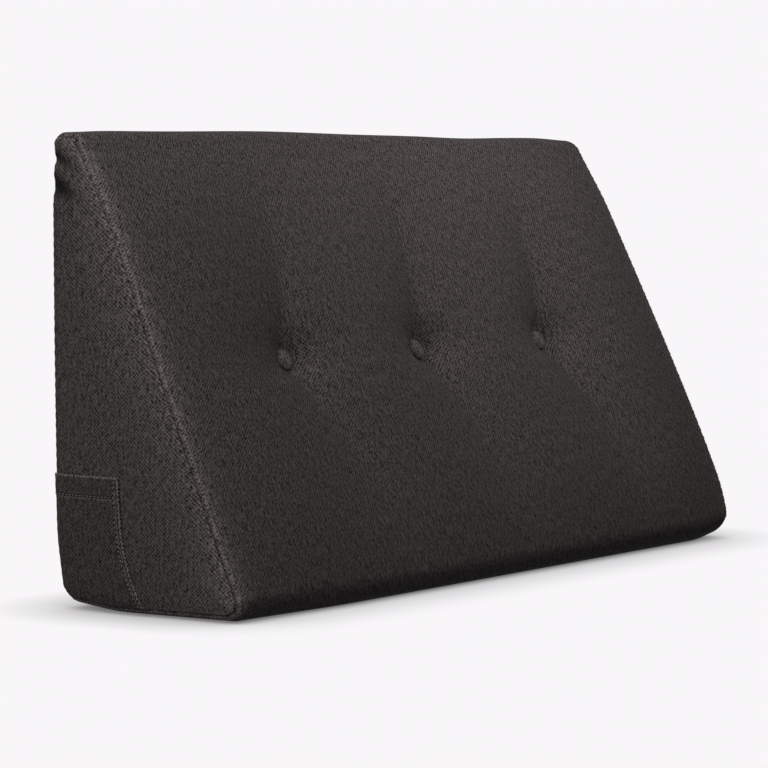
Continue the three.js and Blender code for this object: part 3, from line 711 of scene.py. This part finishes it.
# Painted highlights and painted shade as lines along the turned edges: each one's edge, how far in from it, width and
# tone
POCKET_LINES = [
    {"edge": "top", "in": 0.0, "width": 0.0015, "tone": 1.3},
    {"edge": "front", "in": 0.0003, "width": 0.0012, "tone": 1.2},
    {"edge": "front", "in": 0.0046, "width": 0.0012, "tone": 0.6},
    {"edge": "top", "in": POCKET_HEM + 0.0024, "width": 0.0012, "tone": 0.6},
    {"edge": "top", "in": POCKET_HEM, "width": 0.0012, "tone": -0.6},
    {"edge": "front", "in": 0.0024, "width": 0.0010, "tone": -0.6},
    {"edge": "front", "in": 0.0070, "width": 0.0012, "tone": -0.6},
]
EDGE_ROW_IN, SECOND_ROW_IN = 0.0016, 0.0068
pocket_ups = spread_stations(0, POCKET_TOP, 0.0026, 0.0006, [POCKET_TOP, POCKET_TOP - POCKET_HEM], 0.004)
pocket_backs = spread_stations(0, 0.115, 0.0028, 0.0006, [0.0], 0.010)


def pocket_front_edge(height):
    heights, from_back = zip(*POCKET_FRONT)
    return DEPTH / 2 + shift[1] - np.interp(height, heights, from_back)


surface = surface_of(cushion)
left_seam = seam_lines["left"]
back_part = left_seam[left_seam[:, 1] > DEPTH / 2 - 0.03 + shift[1]]
base_part = left_seam[left_seam[:, 2] < 0.02]


def seam_y(height):
    order = np.argsort(back_part[:, 2])
    return np.interp(height, back_part[order, 2], back_part[order, 1])


def seam_z(y):
    order = np.argsort(base_part[:, 1])
    return np.interp(y, base_part[order, 1], base_part[order, 2])


def pocket_grid():
    """Inner and outer faces of the pocket, laid on the side panel."""
    inner, outer, weave = [], [], []
    for up in pocket_ups:
        inner_row, outer_row, weave_row = [], [], []
        for back in pocket_backs:
            rough_height = POCKET_FOOT + (POCKET_TOP - POCKET_FOOT) * up
            front_y = pocket_front_edge(rough_height)
            y = front_y + (seam_y(rough_height) - SEAM_CLEAR - front_y) * back
            low = seam_z(y) + SEAM_CLEAR
            z = low + (POCKET_TOP - low) * up
            hit, normal, _, _ = surface.ray_cast(Vector((-WIDTH, y, z)), Vector((1, 0, 0)))
            from_top, from_front = POCKET_TOP - z, y - front_y
            hem = 1 - smooth((from_top - POCKET_HEM) / FOLD_STEP)
            fold = 1 - smooth((from_front - POCKET_FOLD_BACK) / FOLD_STEP)
            into_seam = IN_SEAM + (1 - IN_SEAM) * smooth((seam_y(rough_height) - y) / POCKET_TAPER)
            thick = (POCKET_CLOTH + (POCKET_HEM_CLOTH - POCKET_CLOTH) * max(hem, fold)) * into_seam
            middle = math.sin(math.pi * back) * up
            gape = POCKET_GAPE * middle * smooth(1 - from_top / GAPE_REACH)
            lift = CLOTH_GAP + POCKET_SLACK * middle + gape
            inner_row.append(np.array(hit + normal * lift))
            outer_row.append(np.array(hit + normal * (lift + thick)))
            weave_row.append((y, z))
        inner.append(inner_row)
        outer.append(outer_row)
        weave.append(weave_row)
    return np.array(inner), np.array(outer), np.array(weave)


inner, outer, weave = pocket_grid()
rows, columns = inner.shape[:2]
count = rows * columns
points = np.concatenate([inner.reshape(-1, 3), outer.reshape(-1, 3)])
index = np.arange(count).reshape(rows, columns)
tiles = np.stack([index[:-1, :-1], index[:-1, 1:], index[1:, 1:], index[1:, :-1]], axis=-1).reshape(-1, 4)
rim = np.concatenate([index[0, :-1], index[:-1, -1], index[-1, :0:-1], index[:0:-1, 0]])
rim_next = np.roll(rim, -1)
edge_faces = np.stack([rim, rim_next, rim_next + count, rim + count], axis=-1)
faces = np.concatenate([tiles, tiles[:, ::-1] + count, edge_faces])
all_weave = np.concatenate([weave.reshape(-1, 2), weave.reshape(-1, 2)])
pocket = mesh_object("patch_pocket", points, faces, all_weave[faces])
shell = bmesh.new()
shell.from_mesh(pocket.data)
bmesh.ops.recalc_face_normals(shell, faces=shell.faces)
shell.to_mesh(pocket.data)
shell.free()
softened = pocket.modifiers.new("turned_edge", "BEVEL")
softened.width, softened.segments, softened.limit_method = 0.0006, 2, "ANGLE"
softened.angle_limit = math.radians(50)
applied(pocket)
pocket.data.shade_smooth()
pocket.data.materials.clear()
pocket.data.materials.append(cover_cloth)
pocket_points = points_of(pocket.data)
from_edges = {
    "front": pocket_points[:, 1] - pocket_front_edge(pocket_points[:, 2]),
    "top": POCKET_TOP - pocket_points[:, 2],
}
# The whole pocket carries painted shade, with painted highlights on its turned edges and painted shade in its grooves
pocket_painted_light = POCKET_SHADE + sum(
    line["tone"] * bell(from_edges[line["edge"]] - line["in"], line["width"]) for line in POCKET_LINES
)
pocket_painted_light = np.maximum(pocket_painted_light, POCKET_DARKEST)
pocket.data.attributes.new("painted_light", "FLOAT", "POINT").data.foreach_set("value", pocket_painted_light.astype(np.float32))
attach(pocket, "root")
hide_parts("side_pocket")

grid_heights = np.linspace(0.010, POCKET_TOP - 0.001, 130)
edge_row = [(-WIDTH, pocket_front_edge(z) + EDGE_ROW_IN, z) for z in grid_heights]
second_row = [(-WIDTH, pocket_front_edge(z) + SECOND_ROW_IN, z) for z in grid_heights]
hem_height = POCKET_TOP - POCKET_HEM
hem_front, hem_back = pocket_front_edge(hem_height) + SECOND_ROW_IN, seam_y(hem_height) - 0.001
hem_row = [(-WIDTH, y, hem_height) for y in np.linspace(hem_front, hem_back, 100)]
pocket_surface = surface_of(pocket)


def laid_on(surface, row):
    """The row's points where they meet the surface, seen from the left."""
    hits = [surface.ray_cast(Vector(point), Vector((1, 0, 0)))[0] for point in row]
    return [hit for hit in hits if hit is not None]


pocket_stitching = sew(
    "pocket_stitching",
    [laid_on(pocket_surface, row) for row in (edge_row, second_row, hem_row)],
    pocket,
    closed=False,
)

# Covered buttons: a domed metal shell with a disc of the same cloth gathered over it,
# tied down through the foam. The cloth is tight on the dome and folds a little at the rim.
BUTTON_RIM, BUTTON_DOME, BUTTON_TURNS = 0.003, 0.005, 56
RIM_FOLDS, RIM_FOLD_DEPTH, RIM_FOLD_HEIGHT, RIM_FOLD_SPREAD = 14, 0.00035, 0.0016, 0.0022
RIM_SHADE, RIM_SHADE_HEIGHT = 0.75, 0.0045
# The buttons' cloth is drawn paler than the cover's: painted light on the domes
paler_button_cloth = woven_cloth("button_cloth_painted_paler", "#262322", "#807875")


def covered_button(name, seat):
    """A lathed dome with shallow folds round its rim, facing out of the slope."""
    profile = [(0.35, 0.0), (0.7, 0.0), (0.92, 0.0001), (0.985, 0.0007), (1.0, 0.0016), (1.0, BUTTON_RIM)]
    for degrees in (12, 24, 36, 47, 57, 66, 74, 81):
        angle = math.radians(degrees)
        profile.append((math.cos(angle), BUTTON_RIM + BUTTON_DOME * math.sin(angle)))
    turns, points, uvs = BUTTON_TURNS, [], []
    across, up, out = np.array([1.0, 0, 0]), -slope_down, slope_normal
    for share, height in profile:
        for step in range(turns):
            angle = 2 * math.pi * step / turns
            fold = RIM_FOLD_DEPTH * math.cos(RIM_FOLDS * angle) * bell(height - RIM_FOLD_HEIGHT, RIM_FOLD_SPREAD)
            radius = BUTTON_RADIUS * share + fold * (share > 0.9)
            flat = across * math.cos(angle) * radius + up * math.sin(angle) * radius
            points.append(seat + flat + out * height)
            reach = BUTTON_RADIUS * share if height >= BUTTON_RIM else BUTTON_RADIUS + BUTTON_RIM - height
            uvs.append((reach * math.cos(angle), reach * math.sin(angle)))
    bottom, top = len(points), len(points) + 1
    points += [seat, seat + out * (BUTTON_RIM + BUTTON_DOME)]
    uvs += [(0.0, 0.0), (0.0, 0.0)]
    faces = []
    for ring in range(len(profile) - 1):
        for step in range(turns):
            after = (step + 1) % turns
            low, high = ring * turns, (ring + 1) * turns
            faces.append((low + step, low + after, high + after, high + step))
    last = (len(profile) - 1) * turns
    for step in range(turns):
        after = (step + 1) % turns
        faces.append((bottom, after, step))
        faces.append((last + step, last + after, top))
    corner_uv = np.array([uvs[number] for face in faces for number in face])
    made = mesh_object(name, points, faces, corner_uv)
    # Painted shade: the button is darker towards the base of its rim, where it meets the slope
    above_seat = (np.array(points) - seat) @ slope_normal
    rim_shade = (-RIM_SHADE * smooth(1 - above_seat / RIM_SHADE_HEIGHT)).astype(np.float32)
    made.data.attributes.new("painted_light", "FLOAT", "POINT").data.foreach_set("value", rim_shade)
    made.data.materials.append(paler_button_cloth)
    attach(made, "root")
    return made


for number, seat in enumerate(button_seats, start=1):
    button = covered_button(f"covered_button_{number}", seat - slope_normal * BUTTON_SUNK)
    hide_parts(f"button_{number}")

# Plain pale floor that curves up far behind, in soft studio light: mostly from the left, some
# on the slope and the ridge, and some from behind that the camera's side does not receive
FLOOR_WIDTH, FLOOR_FRONT, FLOOR_BACK, FLOOR_LEVEL, FLOOR_TURN = 14.0, -7.0, 3.4, -0.0004, 54.47
COVE_RADIUS, COVE_TOP, COVE_STEPS, SHADE_REACH = 1.6, 6.0, 24, 0.10


def glowing_paper():
    """Matt white paper drawn as an even glow, with a painted shadow close to what stands on it."""
    made = bpy.data.materials.new("matt_pale_paper")
    made.use_nodes = True
    tree = made.node_tree
    tree.nodes.clear()
    # Painted shadow: the glow is darker where the pillow closes in the floor above it
    openness = add(tree, "ShaderNodeAmbientOcclusion", {"Distance": SHADE_REACH}, samples=16).outputs["AO"]
    colour = add(tree, "ShaderNodeMix", {
        0: openness, 6: linear("#6c6a6c"), 7: linear("#f8f6f8"),
    }, data_type="RGBA").outputs[2]
    paper = add(tree, "ShaderNodeEmission", {"Color": colour, "Strength": 1.0})
    add(tree, "ShaderNodeOutputMaterial", {"Surface": paper.outputs["Emission"]})
    return made


def pale_floor():
    profile = [(FLOOR_FRONT, FLOOR_LEVEL), (FLOOR_BACK, FLOOR_LEVEL)]
    for step in range(1, COVE_STEPS + 1):
        angle = math.radians(90 * step / COVE_STEPS)
        rise = COVE_RADIUS * (1 - math.cos(angle))
        profile.append((FLOOR_BACK + COVE_RADIUS * math.sin(angle), rise + FLOOR_LEVEL))
    profile.append((FLOOR_BACK + COVE_RADIUS, COVE_TOP))
    turn = math.radians(FLOOR_TURN)
    points, faces = [], []
    for distance, height in profile:
        for aside in (-FLOOR_WIDTH / 2, FLOOR_WIDTH / 2):
            x = aside * math.cos(turn) + distance * math.sin(turn)
            y = -aside * math.sin(turn) + distance * math.cos(turn)
            points.append((x, y, height))
    for step in range(len(profile) - 1):
        faces.append((2 * step, 2 * step + 1, 2 * step + 3, 2 * step + 2))
    mesh = bpy.data.meshes.new("studio_floor")
    mesh.from_pydata(points, [], faces)
    mesh.shade_smooth()
    made = bpy.data.objects.new("studio_floor", mesh)
    bpy.context.scene.collection.objects.link(made)
    mesh.materials.append(glowing_paper())
    made.visible_diffuse = False


pale_floor()


def soft_light(name, place, aim, size, power):
    lamp = bpy.data.lights.new(name, "AREA")
    lamp.shape, lamp.size, lamp.energy = "DISK", size, power
    made = bpy.data.objects.new(name, lamp)
    made.location = place
    made.rotation_euler = (Vector(aim) - Vector(place)).to_track_quat("-Z", "Y").to_euler()
    bpy.context.scene.collection.objects.link(made)


soft_light("end_light", (-4.1, 0.0, 1.75), (0, 0, 0.25), 1.5, 50.0)
soft_light("low_light", (-4.0, -1.5, 1.0), (0, 0, 0.25), 1.5, 44.0)
soft_light("slope_light", (0.28, -0.42, 1.00), (0.1, 0, 0.32), 0.4, 4.0)
soft_light("ridge_light", (-1.0, 0.0, 1.2), (0, 0, 0.25), 0.6, 3.8)
soft_light("back_light", (-1.29, 1.53, 3.71), (0, 0, 0.25), 1.6, 18.0)
soft_light("behind_light", (1.6, 3.4, 0.9), (0, 0, 0.25), 1.5, 60.0)
world = bpy.data.worlds.new("studio_air")
world.use_nodes = True
air = world.node_tree.nodes["Background"]
air.inputs["Color"].default_value, air.inputs["Strength"].default_value = linear("#f7f6f8"), 0.012
bpy.context.scene.world = world
bpy.context.scene.view_settings.view_transform = "Standard"

CAMERA_AZIMUTH, CAMERA_ELEVATION, CAMERA_DISTANCE = -54.47, 3.64, 3.617
CAMERA_AIM, CAMERA_LENS, CAMERA_ROLL = (-0.0840, -0.0050, 0.2183), 150.6, -0.139
azimuth, elevation = math.radians(CAMERA_AZIMUTH), math.radians(CAMERA_ELEVATION)
towards_camera = Vector((
    math.sin(azimuth) * math.cos(elevation),
    -math.cos(azimuth) * math.cos(elevation),
    math.sin(elevation),
))
camera_data = bpy.data.cameras.new("camera")
camera_data.lens, camera_data.sensor_width = CAMERA_LENS, 36
camera_data.clip_start, camera_data.clip_end = 0.1, 50
camera = bpy.data.objects.new("camera", camera_data)
camera.location = Vector(CAMERA_AIM) + towards_camera * CAMERA_DISTANCE
turned = (-towards_camera).to_track_quat("-Z", "Y").to_euler()
turned.rotate_axis("Z", math.radians(CAMERA_ROLL))
camera.rotation_euler = turned
bpy.context.scene.collection.objects.link(camera)
bpy.context.scene.camera = camera
